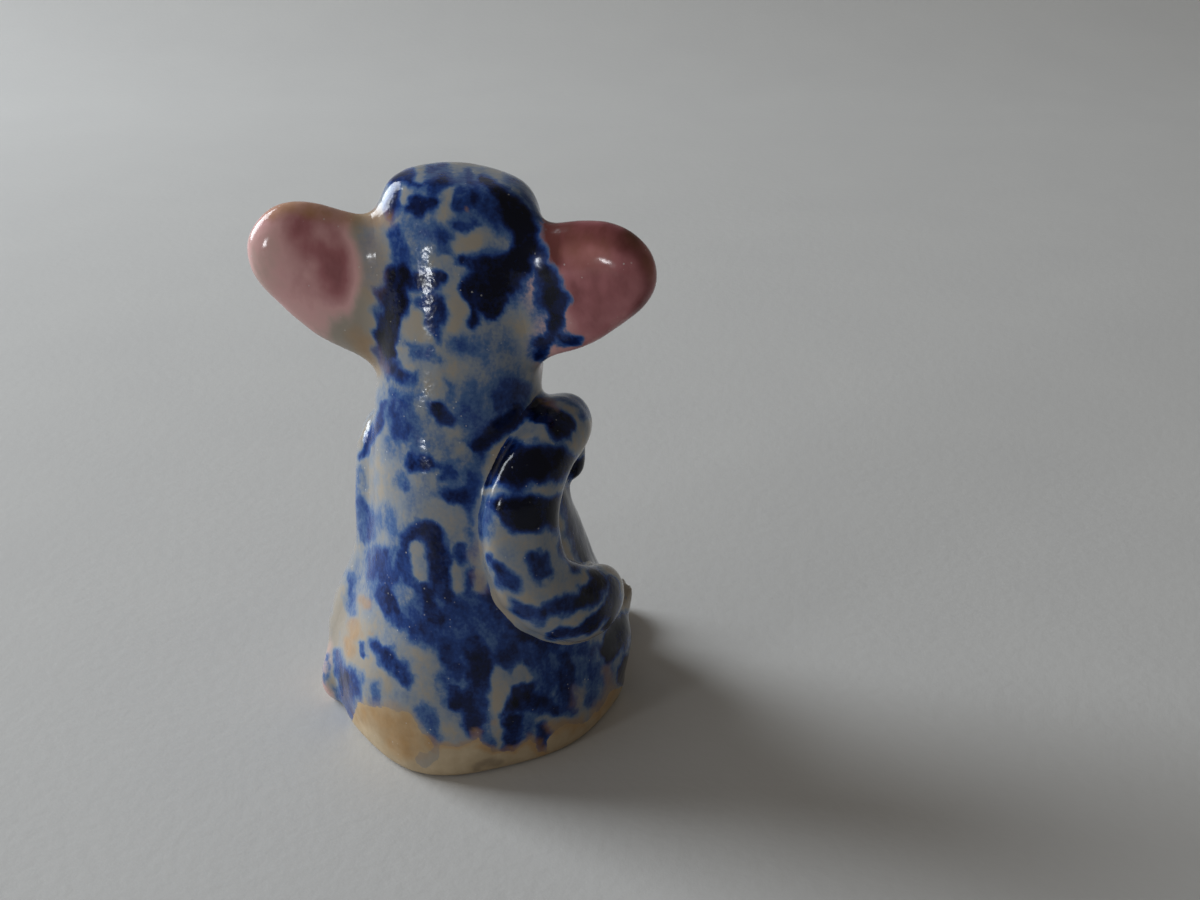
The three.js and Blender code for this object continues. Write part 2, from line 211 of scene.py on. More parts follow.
low_corner = np.floor((np.array(cad_box[0]) / MM - MARGIN) / VOXEL).astype(int)
high_corner = np.ceil((np.array(cad_box[1]) / MM + MARGIN) / VOXEL).astype(int)
grid_shape = tuple(high_corner - low_corner + 1)
axes = [(np.arange(count) + low) * VOXEL for low, count in zip(low_corner, grid_shape)]
grid_x, grid_y, grid_z = np.meshgrid(*axes, indexing="ij", sparse=True)


def distances(node):
    """How far each grid point is outside a CAD node's solid. Inside, it is negative."""
    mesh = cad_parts[node].data
    mesh.calc_loop_triangles()
    points = np.zeros(len(mesh.vertices) * 3, np.float32)
    mesh.vertices.foreach_get("co", points)
    corners = np.zeros(len(mesh.loop_triangles) * 3, np.int32)
    mesh.loop_triangles.foreach_get("vertices", corners)
    grid = vdb.FloatGrid.createLevelSetFromPolygons(
        points.reshape(-1, 3) / np.float32(MM),
        triangles=corners.reshape(-1, 3).astype(np.uint32),
        transform=vdb.createLinearTransform(VOXEL),
        halfWidth=BAND / VOXEL,
    )
    field = np.zeros(grid_shape, np.float32)
    grid.copyToArray(field, ijk=tuple(int(low) for low in low_corner))
    return field


def joined(one, other, width):
    """Two fields as one, with a fillet of a given width where they meet."""
    near = np.maximum(width - np.abs(one - other), 0) / width
    return np.minimum(one, other) - near * near * width / 4


def softened(field, radius):
    """A field blurred by a given radius: three running means along each axis."""
    reach = max(1, round(radius / VOXEL * 0.9))
    for axis in range(3):
        for _ in range(3):
            padding = [(reach + 1, reach) if along == axis else (0, 0) for along in range(3)]
            summed = np.cumsum(np.pad(field, padding, mode="edge"), axis=axis, dtype=np.float64)
            ahead = np.take(summed, range(2 * reach + 1, summed.shape[axis]), axis=axis)
            behind = np.take(summed, range(0, summed.shape[axis] - 2 * reach - 1), axis=axis)
            field = ((ahead - behind) / (2 * reach + 1)).astype(np.float32)
    return field


def wobble(x, y, z, wavelength, seed, waves=14):
    """A smooth unevenness from about -1 to 1, made of waves in random directions."""
    random = np.random.default_rng(seed)
    total = 0
    for _ in range(waves):
        direction = random.normal(size=3)
        direction *= 2 * math.pi / wavelength / np.linalg.norm(direction) * random.uniform(0.6, 1.5)
        start = random.uniform(0, 2 * math.pi)
        total = total + np.sin(x * direction[0] + y * direction[1] + z * direction[2] + start)
    return total / math.sqrt(waves)


def sampled(field, points):
    """A field's value at points in millimetres, between its grid points."""
    place = points / VOXEL - low_corner
    base = np.clip(np.floor(place).astype(int), 0, np.array(grid_shape) - 2)
    share = place - base
    total = 0
    for corner in np.ndindex(2, 2, 2):
        weight = np.prod(np.where(corner, share, 1 - share), axis=-1)
        total = total + weight * field[tuple((base + corner).T)]
    return total


def surface_from(field, start, direction):
    """The first point of the form's surface from a start along a direction."""
    steps = np.arange(0, SEARCH_LENGTH, SEARCH_STEP)
    path = np.asarray(start, float) + steps[:, None] * np.asarray(direction, float)
    inside = np.flatnonzero(sampled(field, path) < 0)
    return path[inside[0] if len(inside) else -1]


def groove(field, points, radius):
    """Presses a round-bottomed groove along points into a field."""
    points = np.array(points)
    low = np.floor((points.min(axis=0) - radius - 2) / VOXEL).astype(int) - low_corner
    high = np.ceil((points.max(axis=0) + radius + 2) / VOXEL).astype(int) - low_corner
    block = tuple(slice(max(0, begin), end) for begin, end in zip(low, high))
    x, y, z = np.meshgrid(*[axis[part] for axis, part in zip(axes, block)], indexing="ij", sparse=True)
    tool = np.float32(BAND)
    for begin, end in zip(points[:-1], points[1:]):
        along = end - begin
        length = max(along @ along, 1e-9)
        dx, dy, dz = x - begin[0], y - begin[1], z - begin[2]
        share = np.clip((dx * along[0] + dy * along[1] + dz * along[2]) / length, 0, 1)
        gap = (dx - share * along[0]) ** 2 + (dy - share * along[1]) ** 2 + (dz - share * along[2]) ** 2
        tool = np.minimum(tool, np.sqrt(gap) - radius)
    field = field.copy()
    field[block] = -joined(-field[block], tool, GROOVE_SOFTNESS)
    return field


def grooves(form, rows, direction, radius):
    """Presses a groove for each row of starts, where lines from them along a direction meet the form."""
    for row in rows:
        form = groove(form, [surface_from(form, start, direction) for start in row], radius)
    return form


def node_box(node):
    low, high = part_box(node)
    return np.array(low) / MM, np.array(high) / MM


def node_middle(node):
    low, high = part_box(node)
    return (np.array(low) + np.array(high)) / 2 / MM


def clay_form():
    """The field of the whole form, and for each node how far every grid point is outside its share of it."""
    fields = {name: distances(name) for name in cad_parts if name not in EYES}
    form = fields["body"]
    nearest = form
    second = np.full(grid_shape, BAND, np.float32)
    for name, field in fields.items():
        if name == "body":
            continue
        form = joined(form, field, SEAMS.get(name, SOFT_SEAM))
        second = np.minimum(second, np.maximum(nearest, field))
        nearest = np.minimum(nearest, field)
    shares = {
        name: (field - np.where(field <= nearest, second, nearest)) / 2 for name, field in fields.items()
    }
    melted = softened(form, MELT_RADIUS)
    form = melted + softened(form - melted, MELT_RADIUS)
    lumps = wobble(grid_x, grid_y, grid_z, LUMP_SIZE, seed=3)
    lumps = lumps + SMALL_LUMP_SHARE * wobble(grid_x, grid_y, grid_z, SMALL_LUMP_SIZE, seed=4)
    form = form + HAND_LUMPS * np.clip(0.5 + 0.5 * lumps, 0, 1) * smoothstep(*LUMPS_SET_IN, grid_z)
    return np.maximum(form, -grid_z).astype(np.float32), shares


def pressed_details(form):
    """The mouth, nostrils, fingers and toes, pressed into the clay."""
    from_front = np.array([0, 1.0, 0])
    from_left = (-1, 0, 0)
    muzzle = node_middle("muzzle")
    start = muzzle[1] - MUZZLE_APPROACH
    mouth = [
        (x, start, muzzle[2] - MOUTH_DROP + MOUTH_CURVE * x * x)
        for x in np.linspace(-MOUTH_HALF_WIDTH, MOUTH_HALF_WIDTH, MOUTH_POINTS)
    ]
    form = grooves(form, [mouth], from_front, MOUTH_RADIUS)
    for side in (-1, 1):
        nostril = surface_from(form, (side * NOSTRIL_SIDE, start, muzzle[2] + NOSTRIL_RISE), from_front)
        form = groove(form, [nostril, nostril + from_front * NOSTRIL_DEPTH], NOSTRIL_RADIUS)

    for name in ("left_foot", "right_foot"):
        low, high = node_box(name)
        heights = np.linspace(TOE_ENDS[0], high[2] - TOE_ENDS[1], TOE_POINTS)
        places = [low[0] + share * (high[0] - low[0]) for share in TOE_SHARES]
        toes = [[(x, low[1] - APPROACH, z) for z in heights] for x in places]
        form = grooves(form, toes, from_front, TOE_RADIUS)

    low, high = node_box("right_hand")
    heights = np.linspace(low[2] + RIGHT_FINGER_ENDS[0], high[2] - RIGHT_FINGER_ENDS[1], FINGER_POINTS)
    places = [low[0] + share * (high[0] - low[0]) for share in RIGHT_FINGER_SHARES]
    fingers = [[(x, low[1] - APPROACH, z) for z in heights] for x in places]
    form = grooves(form, fingers, from_front, FINGER_RADIUS)

    low, high = node_box("left_hand")
    heights = np.linspace(LEFT_FINGER_START, high[2] * LEFT_FINGER_TOP, FINGER_POINTS)
    places = [low[1] + share * (high[1] - low[1]) for share in LEFT_FINGER_SHARES]
    fingers = [[(high[0] + APPROACH, y, z) for z in heights] for y in places]
    return grooves(form, fingers, from_left, FINGER_RADIUS)


def largest_shell(points, faces):
    """The largest connected part of a mesh, without the specks that the parting leaves."""
    label = np.arange(len(points))
    settled = False
    while not settled:
        lowest = label.copy()
        for corner in range(4):
            np.minimum.at(lowest, faces[:, corner], label[faces].min(axis=1))
        lowest = lowest[lowest]
        settled = np.array_equal(lowest, label)
        label = lowest
    kept = label == np.bincount(label).argmax()
    number = np.cumsum(kept) - 1
    return points[kept], number[faces[kept[faces[:, 0]]]]


def meshed(field):
    """The surface of a field: points in millimetres, and faces of four corners that look outwards."""
    grid = vdb.FloatGrid(BAND)
    grid.transform = vdb.createLinearTransform(VOXEL)
    grid.gridClass = vdb.GridClass.LEVEL_SET
    grid.copyFromArray(field, ijk=tuple(int(low) for low in low_corner))
    points, faces = grid.convertToQuads(0)
    points, faces = largest_shell(points.astype(float), faces.astype(int))
    spans = np.cross(points[faces[:, 2]] - points[faces[:, 0]], points[faces[:, 3]] - points[faces[:, 1]])
    if np.einsum("ij,ij->", spans, points[faces[:, 0]]) < 0:
        faces = faces[:, ::-1]
        spans = -spans
    normals = np.zeros_like(points)
    for corner in range(4):
        np.add.at(normals, faces[:, corner], spans)
    normals /= np.linalg.norm(normals, axis=1, keepdims=True) + 1e-12
    return points, faces, normals


def piece_field(form, share):
    """One node's share of the form. It reaches a little under its neighbours, just below their surface."""
    sunk = form + LAP_DEPTH * smoothstep(0, LAP, share)
    return np.maximum(sunk, share - LAP).astype(np.float32)


def add_piece(name, node, points, faces, material):
    mesh = bpy.data.meshes.new(name)
    mesh.from_pydata(points * MM, [], faces)
    mesh.shade_smooth()
    mesh.materials.append(material)
    piece = bpy.data.objects.new(name, mesh)
    bpy.context.scene.collection.objects.link(piece)
    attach(piece, "root")
    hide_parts(node)
    return piece


def add_clay_pieces(form, shares, material):
    """One closed piece for each node, with its paint as layers of values on its points."""
    meshes = {node: meshed(piece_field(form, share)) for node, share in shares.items()}
    nearest = nearest_depths(np.concatenate([points for points, _, _ in meshes.values()]))
    for node, (points, faces, normals) in meshes.items():
        piece = add_piece(node + "_clay", node, points, faces, material)
        for layer, values in paint_layers(node, points, normals, nearest).items():
            attribute = piece.data.attributes.new(layer, "FLOAT", "POINT")
            attribute.data.foreach_set("value", values.astype(np.float32))


def add_eyes(material):
    """Two small oval beads, each with a pressed dimple in front."""
    for node in EYES:
        low, high = node_box(node)
        radius = (high[0] - low[0]) / 2
        middle = np.array([(low[0] + high[0]) / 2, low[1] + radius, (low[2] + high[2]) / 2])
        ball = bmesh.new()
        bmesh.ops.create_icosphere(ball, subdivisions=5, radius=1)
        points = np.array([vertex.co for vertex in ball.verts])
        faces = [[vertex.index for vertex in face.verts] for face in ball.faces]
        ball.free()
        off_axis = np.hypot(points[:, 0], points[:, 2] - EYE_DIMPLE_RISE)
        dimple = EYE_DIMPLE * np.exp(-((off_axis / EYE_DIMPLE_SPREAD) ** 2)) * (points[:, 1] < 0)
        points = points * (1 - dimple)[:, None] * (EYE_WIDTH, 1, 1)
        add_piece(node + "_bead", node, points * radius + middle, faces, material)


# Paint. A stroke is given as how much colour it leaves, and the places that the brush passes, each with
# half the brush's width there. Places are across and down in the photograph's frame.

PINK_NODES = ("face", "muzzle", "left_ear", "right_ear", "left_hand", "right_hand", "left_foot", "right_foot")
ARM_NODES = ("right_arm", "right_hand")

HEAD_BLUE = [
    (0.74, [(395, 178, 8), (408, 174, 9), (418, 178, 8)]),
    (0.72, [(397, 190, 7), (392, 205, 8), (391, 214, 6)]),
    (0.85, [(409, 206, 7), (419, 207, 10), (428, 203, 7)]),
    (0.55, [(425, 172, 7), (440, 168, 8), (446, 180, 8)]),
    (0.64, [(430, 186, 7), (441, 183, 9)]),
    (0.40, [(416, 188, 8), (430, 197, 8)]),
    (0.56, [(460, 184, 9), (463, 200, 13), (464, 218, 12)]),
    (0.72, [(456, 206, 7), (468, 205, 8)]),
    (0.74, [(458, 226, 6), (467, 230, 6), (474, 223, 5)]),
    (0.62, [(468, 172, 4), (475, 186, 5), (474, 204, 4)]),
    (0.92, [(482, 179, 3), (493, 186, 5), (504, 196, 8)]),
    (1.00, [(507, 203, 10), (517, 215, 13), (524, 232, 13), (525, 248, 12), (520, 262, 12)]),
    (1.00, [(466, 284, 10), (485, 283, 16), (505, 279, 15), (517, 268, 12)]),
    (0.86, [(463, 258, 6), (475, 262, 8), (490, 262, 9), (505, 261, 9)]),
    (0.92, [(470, 300, 10), (485, 302, 11), (500, 298, 10)]),
    (0.92, [(471, 314, 8), (474, 322, 5)]),
    (0.86, [(488, 313, 7), (502, 308, 5)]),
    (0.62, [(489, 200, 9), (492, 215, 10), (499, 230, 8)]),
    (0.50, [(508, 178, 5), (525, 185, 8), (536, 199, 8)]),
    (0.46, [(534, 205, 8), (538, 230, 7), (537, 255, 7)]),
    (0.62, [(538, 258, 7), (540, 280, 7), (541, 302, 7)]),
    (0.18, [(366, 228, 10), (372, 272, 12)]),
    (0.60, [(395, 230, 7), (400, 245, 9), (403, 262, 10)]),
    (0.94, [(399, 278, 13), (395, 295, 15), (392, 312, 13)]),
    (0.92, [(390, 325, 11), (388, 340, 10), (389, 352, 7)]),
    (0.66, [(382, 335, 6), (380, 350, 5)]),
    (0.62, [(383, 358, 6), (392, 368, 7), (402, 372, 6)]),
    (0.44, [(417, 226, 12), (430, 232, 14), (440, 240, 12), (445, 252, 9)]),
    (0.52, [(440, 234, 6), (449, 242, 6)]),
    (0.78, [(412, 281, 9), (428, 279, 10), (440, 278, 8)]),
    (0.70, [(427, 304, 11), (440, 304, 10)]),
    (0.70, [(436, 317, 12), (437, 330, 7), (436, 338, 4)]),
    (0.33, [(470, 345, 16), (500, 338, 15)]),
    (0.30, [(490, 365, 20), (515, 365, 17)]),
    (0.44, [(455, 346, 10), (468, 350, 9)]),
    (0.46, [(413, 345, 10), (427, 352, 9), (438, 360, 5)]),
    (0.62, [(398, 373, 9), (412, 379, 8), (424, 373, 5)]),
    (0.52, [(450, 385, 9), (449, 398, 8)]),
    (0.38, [(470, 397, 16), (500, 397, 16)]),
    (0.54, [(508, 385, 9), (525, 390, 9)]),
    (0.40, [(540, 300, 8), (537, 330, 8), (534, 356, 8)]),
    (0.97, [(547, 270, 7), (551, 285, 10), (556, 300, 12), (557, 318, 9), (555, 330, 7)]),
    (0.82, [(546, 340, 8), (540, 355, 6)]),
    (0.78, [(562, 341, 7), (578, 338, 5)]),
]

BACK_BLUE = [
    (0.62, [(384, 405, 4), (378, 425, 4), (367, 445, 4), (361, 458, 3)]),
    (0.58, [(394, 396, 9), (400, 420, 12), (400, 435, 9)]),
    (0.84, [(438, 407, 7), (443, 416, 8), (450, 422, 6)]),
    (0.42, [(415, 425, 14), (420, 440, 10)]),
    (0.46, [(465, 410, 16), (480, 425, 14), (470, 440, 10)]),
    # Painted shade, partly blue pooled in the seam: the next two strokes darken the groove along the right
    # arm's top and left side.
    (0.80, [(479, 446, 6), (491, 436, 8), (504, 426, 9), (520, 412, 9)]),
    (0.42, [(469, 498, 6), (469, 530, 6), (474, 556, 5)]),
    (0.64, [(500, 402, 10), (520, 400, 10)]),
    (0.82, [(416, 463, 9), (426, 465, 10)]),
    (0.67, [(440, 470, 8), (448, 474, 8)]),
    (0.68, [(446, 491, 7), (458, 497, 9), (466, 504, 6)]),
    (0.46, [(405, 485, 7), (400, 477, 7)]),
    # Painted shade, partly pooled blue: the upper part of the dark line beside the right arm's left side.
    (0.52, [(478, 456, 7), (473, 476, 8), (472, 494, 7)]),
    (0.34, [(430, 448, 16), (452, 452, 14)]),
    (0.55, [(362, 503, 7), (366, 520, 9), (366, 536, 8)]),
    (0.32, [(360, 470, 5), (358, 490, 5)]),
    (0.34, [(386, 515, 10), (396, 532, 10)]),
    (0.76, [(411, 538, 8), (422, 530, 11), (433, 533, 11)]),
    (0.80, [(438, 545, 11), (441, 562, 11), (442, 580, 10), (446, 595, 8)]),
    (0.72, [(406, 550, 6), (404, 566, 7), (409, 581, 8)]),
    (0.72, [(420, 590, 8), (432, 592, 7)]),
    (0.64, [(385, 560, 12), (390, 576, 12)]),
    (0.52, [(375, 553, 8), (371, 574, 8)]),
    (0.76, [(384, 594, 10), (391, 608, 9)]),
    (0.62, [(398, 618, 8), (409, 626, 8)]),
    (0.78, [(430, 605, 10), (435, 618, 10)]),
    (0.62, [(414, 612, 8), (422, 622, 8)]),
    (0.72, [(461, 548, 6), (462, 560, 5)]),
    (0.62, [(471, 574, 6), (472, 594, 7)]),
    (0.60, [(450, 575, 6), (452, 600, 8)]),
    (0.60, [(480, 610, 16), (505, 630, 18), (530, 645, 16)]),
    (0.58, [(460, 610, 14), (450, 625, 14)]),
    # Painted shadow: a dark stroke on the body along the right arm's lower edge, where the arm shades the
    # body.
    (0.74, [(484, 588, 6), (500, 610, 8), (525, 634, 8), (555, 645, 6)]),
]

LOW_BLUE = [
    (0.46, [(350, 575, 5), (351, 595, 5), (352, 612, 4)]),
    (0.62, [(420, 632, 9), (440, 641, 10), (455, 646, 9)]),
    (0.80, [(471, 646, 13), (482, 660, 15), (480, 680, 14), (475, 700, 15), (473, 715, 11), (475, 728, 7)]),
    (0.80, [(455, 690, 6), (456, 704, 6)]),
    (0.66, [(450, 656, 9), (457, 670, 9)]),
    (0.54, [(442, 668, 7), (449, 685, 8)]),
    (0.36, [(437, 682, 8), (446, 700, 7)]),
    (0.68, [(506, 655, 13), (521, 660, 11)]),
    (0.80, [(503, 714, 4), (511, 704, 7), (520, 694, 10), (530, 690, 9)]),
    (0.80, [(520, 702, 10), (538, 703, 10), (552, 707, 7)]),
    (0.58, [(540, 660, 14), (552, 680, 14), (546, 692, 9)]),
    (0.82, [(515, 722, 9), (511, 738, 8), (507, 747, 5)]),
    (0.72, [(543, 728, 6), (543, 742, 6)]),
    (0.74, [(565, 658, 8), (567, 685, 9), (566, 705, 8)]),
    # Painted shadow: dark grey under the right arm, where the arm shades the body.
    (0.60, [(545, 648, 10), (575, 648, 10), (592, 650, 8)]),
    (0.55, [(591, 665, 7), (592, 684, 6), (591, 704, 5)]),
    (1.00, [(625, 622, 9), (616, 640, 12), (608, 652, 8)]),
    (0.97, [(627, 662, 6), (624, 678, 7)]),
    (0.70, [(374, 645, 6), (386, 655, 8), (398, 667, 8), (408, 680, 8)]),
    (0.55, [(361, 644, 2), (366, 655, 2)]),
    (0.36, [(374, 688, 6), (378, 700, 6)]),
    (0.66, [(349, 680, 11), (347, 697, 9), (349, 712, 6), (351, 726, 3)]),
    (0.66, [(337, 652, 2.5), (340, 668, 4), (345, 680, 6)]),
    (0.40, [(327, 655, 2.5), (326, 682, 2.5)]),
    (0.42, [(425, 710, 9), (432, 725, 9), (436, 738, 6)]),
    (0.54, [(483, 736, 5), (490, 741, 5)]),
    (0.46, [(529, 720, 7), (527, 732, 5)]),
    # Partly painted shade, partly dark blue: the chest seen through the right arm's crook, which lies deep in
    # shade.
    (0.86, [(568, 494, 8), (575, 512, 11), (582, 533, 13), (590, 553, 13)]),
    (0.34, [(322, 646, 3), (322, 670, 3)]),
]

# Thin washes of blue between the strokes
WASH = [
    (0.38, [(415, 190, 24), (420, 235, 24), (425, 285, 18)]),
    (0.56, [(470, 200, 18), (500, 220, 24), (495, 285, 28)]),
    (0.25, [(480, 335, 22), (490, 372, 26)]),
    (0.42, [(400, 400, 16), (470, 410, 18), (505, 404, 15)]),
    (0.36, [(415, 440, 24), (440, 470, 26)]),
    (0.32, [(455, 480, 22), (462, 510, 14)]),
    (0.22, [(420, 505, 24)]),
    (0.46, [(385, 575, 18), (420, 600, 26), (450, 600, 30)]),
    (0.56, [(430, 622, 24), (480, 628, 34), (530, 645, 26)]),
    (0.44, [(455, 665, 20), (470, 690, 24)]),
    (0.46, [(545, 668, 28), (585, 672, 24)]),
    (0.24, [(400, 640, 18), (430, 660, 20)]),
]

ARM_BLUE = [
    # Partly painted shade, partly blue: the dark band along the right arm's top edge, where the groove is
    # shaded.
    (0.95, [(497, 433, 5), (510, 423, 7), (525, 413, 9), (540, 409, 9)]),
    (0.97, [(542, 412, 9), (557, 419, 12), (565, 429, 11)]),
    (0.56, [(545, 396, 4), (560, 394, 5), (576, 401, 5), (586, 414, 5)]),
    (1.00, [(498, 464, 15), (515, 466, 22), (535, 463, 18), (555, 465, 16)]),
    (0.85, [(478, 456, 6), (482, 470, 6), (487, 482, 5)]),
    (1.00, [(503, 507, 10), (518, 513, 17), (538, 511, 16), (557, 511, 15)]),
    (0.55, [(490, 503, 7), (484, 518, 7), (486, 534, 7)]),
    # Painted shade: the right arm's inner side, darkened where it turns away from the light.
    (0.78, [(566, 542, 7), (571, 556, 8), (577, 566, 6)]),
    (0.85, [(535, 560, 9), (541, 572, 10)]),
    (0.72, [(495, 568, 4), (505, 580, 9), (512, 584, 9)]),
    (0.60, [(489, 556, 3), (497, 572, 4)]),
    (0.68, [(515, 606, 5), (528, 613, 7), (543, 616, 7)]),
    (0.78, [(545, 612, 7), (562, 606, 9), (578, 602, 9)]),
    (0.96, [(580, 600, 9), (592, 592, 10), (598, 580, 8), (594, 573, 5)]),
    (0.88, [(550, 635, 4), (575, 631, 6), (593, 622, 7), (606, 609, 6), (615, 596, 5), (613, 583, 4)]),
    (0.85, [(609, 577, 2.5), (617, 585, 3), (619, 593, 2)]),
    (0.92, [(619, 602, 3), (614, 613, 3), (606, 628, 3)]),
    # Partly painted shade, partly navy: the knob at the right arm's front, which lies on the shaded side.
    (0.97, [(574, 466, 8), (580, 474, 8), (586, 462, 6)]),
    # Painted shade: a faint grey over the right arm's inner curve, for shading only.
    (0.20, [(556, 530, 10), (566, 580, 12)]),
]

# Places inside the blue that the brush left bare
BARE = [
    (0.95, [(416, 549, 5), (419, 560, 7), (422, 574, 5)]),
    (0.92, [(456, 248, 7), (466, 244, 9), (476, 241, 7)]),
    (0.60, [(484, 241, 8), (498, 243, 7), (507, 246, 5)]),
    (0.85, [(433, 262, 4), (446, 263, 5), (453, 272, 4), (452, 290, 4)]),
    (0.90, [(455, 300, 5), (460, 312, 8), (452, 328, 6)]),
    (0.90, [(413, 318, 7), (414, 330, 9), (424, 340, 5)]),
    (0.85, [(430, 372, 7), (434, 384, 8), (432, 394, 5)]),
    (0.80, [(402, 352, 4), (404, 364, 5)]),
    (0.70, [(405, 192, 4), (406, 199, 4)]),
    (0.75, [(420, 163, 4), (421, 176, 4)]),
    (0.75, [(448, 190, 4), (446, 206, 4), (443, 216, 4)]),
    (0.95, [(500, 674, 5), (501, 690, 8), (495, 708, 5)]),
    (0.88, [(512, 681, 5), (524, 671, 5)]),
    (0.45, [(401, 588, 4), (405, 600, 5)]),
    (0.80, [(478, 573, 5), (482, 588, 4)]),
    (0.70, [(455, 570, 4), (459, 586, 5)]),
    (0.60, [(420, 404, 6), (423, 412, 5)]),
    (0.60, [(456, 455, 5), (461, 448, 5)]),
    (0.70, [(410, 652, 6), (425, 656, 7), (436, 666, 5)]),
    (0.60, [(432, 482, 5), (436, 474, 4)]),
    (0.70, [(440, 512, 10), (458, 522, 8)]),
]

PINK = [
    (0.38, [(262, 240, 26), (285, 270, 36), (305, 300, 30), (325, 318, 14)]),
    (0.50, [(268, 216, 12), (300, 220, 14), (340, 222, 12)]),
    (0.78, [(304, 230, 16), (324, 246, 24), (345, 278, 23)]),
    (0.42, [(300, 285, 24), (325, 308, 18)]),
    # Partly painted shade, partly rose: the right ear's strokes, from here to the list's end, are laid fuller
    # than its rose alone, darkening that ear for the shade it lies in.
    (0.80, [(580, 262, 32), (612, 285, 40), (598, 318, 26), (575, 340, 12)]),
    (0.92, [(549, 226, 11), (572, 226, 10), (610, 228, 9), (632, 240, 9)]),
    (0.82, [(630, 236, 9), (645, 260, 9), (648, 288, 8), (636, 314, 7)]),
    # Painted shade, partly rose: the fullest rose also stands for the shaded crease where the right ear meets
    # the head.
    (1.00, [(550, 232, 10), (554, 248, 10), (556, 262, 8)]),
    (0.88, [(566, 238, 11), (600, 238, 12), (624, 246, 10)]),
    (0.72, [(572, 288, 12), (577, 308, 12)]),
    (0.45, [(319, 690, 6), (326, 700, 5)]),
    (0.30, [(324, 646, 6), (322, 668, 6)]),
]

PINK_BARE = [
    (0.30, [(318, 234, 6), (332, 242, 5)]),
    (0.25, [(346, 236, 7), (358, 232, 6)]),
    (0.80, [(366, 225, 9), (372, 270, 12), (368, 310, 12)]),
    (0.70, [(345, 330, 10), (362, 340, 12)]),
]

# The lower edge of the glaze, from left to right
GLAZE_EDGE = [
    (318, 735), (350, 727), (358, 703), (385, 708), (411, 715), (425, 739), (436, 746), (458, 746),
    (478, 738), (481, 745), (503, 752), (515, 750), (523, 741), (530, 737), (537, 749), (548, 752),
    (552, 730), (566, 726), (586, 721), (601, 708), (613, 690), (628, 684),
]

OCHRE_AND_SHADE = [
    # Partly painted shade, partly ochre stain: the brown line along the left ear's top rim, made stronger to
    # darken the rim's shade.
    (0.80, [(268, 211, 6), (296, 204, 8), (330, 210, 9), (356, 216, 10), (376, 218, 9), (387, 218, 6)]),
    (0.35, [(372, 240, 9), (372, 290, 9)]),
    (0.60, [(354, 334, 6), (363, 344, 7), (370, 356, 6), (380, 369, 4)]),
    (0.20, [(580, 254, 12), (598, 254, 10)]),
    (0.20, [(632, 231, 5), (648, 253, 5), (653, 280, 5)]),
    (0.82, [(368, 714, 9), (388, 720, 11), (402, 732, 15), (418, 747, 7)]),
    (0.80, [(395, 742, 9), (408, 754, 6)]),
    (0.85, [(425, 738, 3), (436, 747, 3), (446, 745, 2.5), (458, 746, 2.5), (470, 741, 3), (478, 735, 4)]),
    (0.85, [(480, 745, 3), (492, 748, 3), (503, 751, 3), (515, 749, 3), (523, 741, 3)]),
    (0.85, [(530, 739, 5), (537, 747, 4), (545, 751, 4)]),
    (0.70, [(551, 730, 5), (565, 726, 5), (582, 722, 5)]),
    (0.70, [(595, 712, 5), (606, 700, 5), (612, 688, 4)]),
    (0.60, [(606, 668, 4), (609, 682, 4)]),
    (0.80, [(362, 599, 4), (366, 604, 4)]),
    (0.95, [(353, 624, 5), (355, 636, 5)]),
    (0.90, [(348, 640, 4), (350, 654, 4)]),
    (0.45, [(477, 575, 5), (482, 587, 4)]),
    (0.40, [(478, 546, 4), (473, 560, 4)]),
    (0.70, [(548, 403, 4), (556, 406, 3)]),
    (0.55, [(493, 724, 3)]),
    (0.40, [(578, 690, 4), (576, 705, 4)]),
    (0.90, [(467, 208, 1.5), (468, 211, 1.5)]),
    (0.70, [(445, 371, 1.5)]),
    (0.60, [(371, 633, 1.5)]),
]

# A drop of glaze on the bare clay, and a grey smudge from the kiln shelf
GLAZE_DROP = [(1.0, [(420, 758, 4), (428, 758, 6), (437, 750, 3)])]
SMUDGE = [(0.8, [(474, 767, 2), (486, 764, 3), (500, 761, 2)])]


def cells_in_photo(across, down):
    """The cells of a coarse grid over the photograph's frame that places fall in."""
    column = np.clip(across / SIGHT_CELL, 0, PHOTO_WIDTH // SIGHT_CELL - 1).astype(int)
    row = np.clip(down / SIGHT_CELL, 0, PHOTO_HEIGHT // SIGHT_CELL - 1).astype(int)
    return row, column


def nearest_depths(points):
    """How deep the first surface lies in each cell of a coarse grid over the photograph's frame."""
    across, down, depth = in_photo(points)
    nearest = np.full((PHOTO_HEIGHT // SIGHT_CELL, PHOTO_WIDTH // SIGHT_CELL), np.inf)
    np.minimum.at(nearest, cells_in_photo(across, down), depth)
    return nearest


def sight(across, down, depth, nearest):
    """How far places lie in the camera's sight, from 0 to 1, judged with the places round them."""
    total = 0
    for shift_across in SIGHT_SHIFTS:
        for shift_down in SIGHT_SHIFTS:
            cells = cells_in_photo(across + shift_across, down + shift_down)
            total = total + (depth < nearest[cells] + SIGHT_DEPTH)
    return smoothstep(0, SIGHT_ENOUGH, total / len(SIGHT_SHIFTS) ** 2)


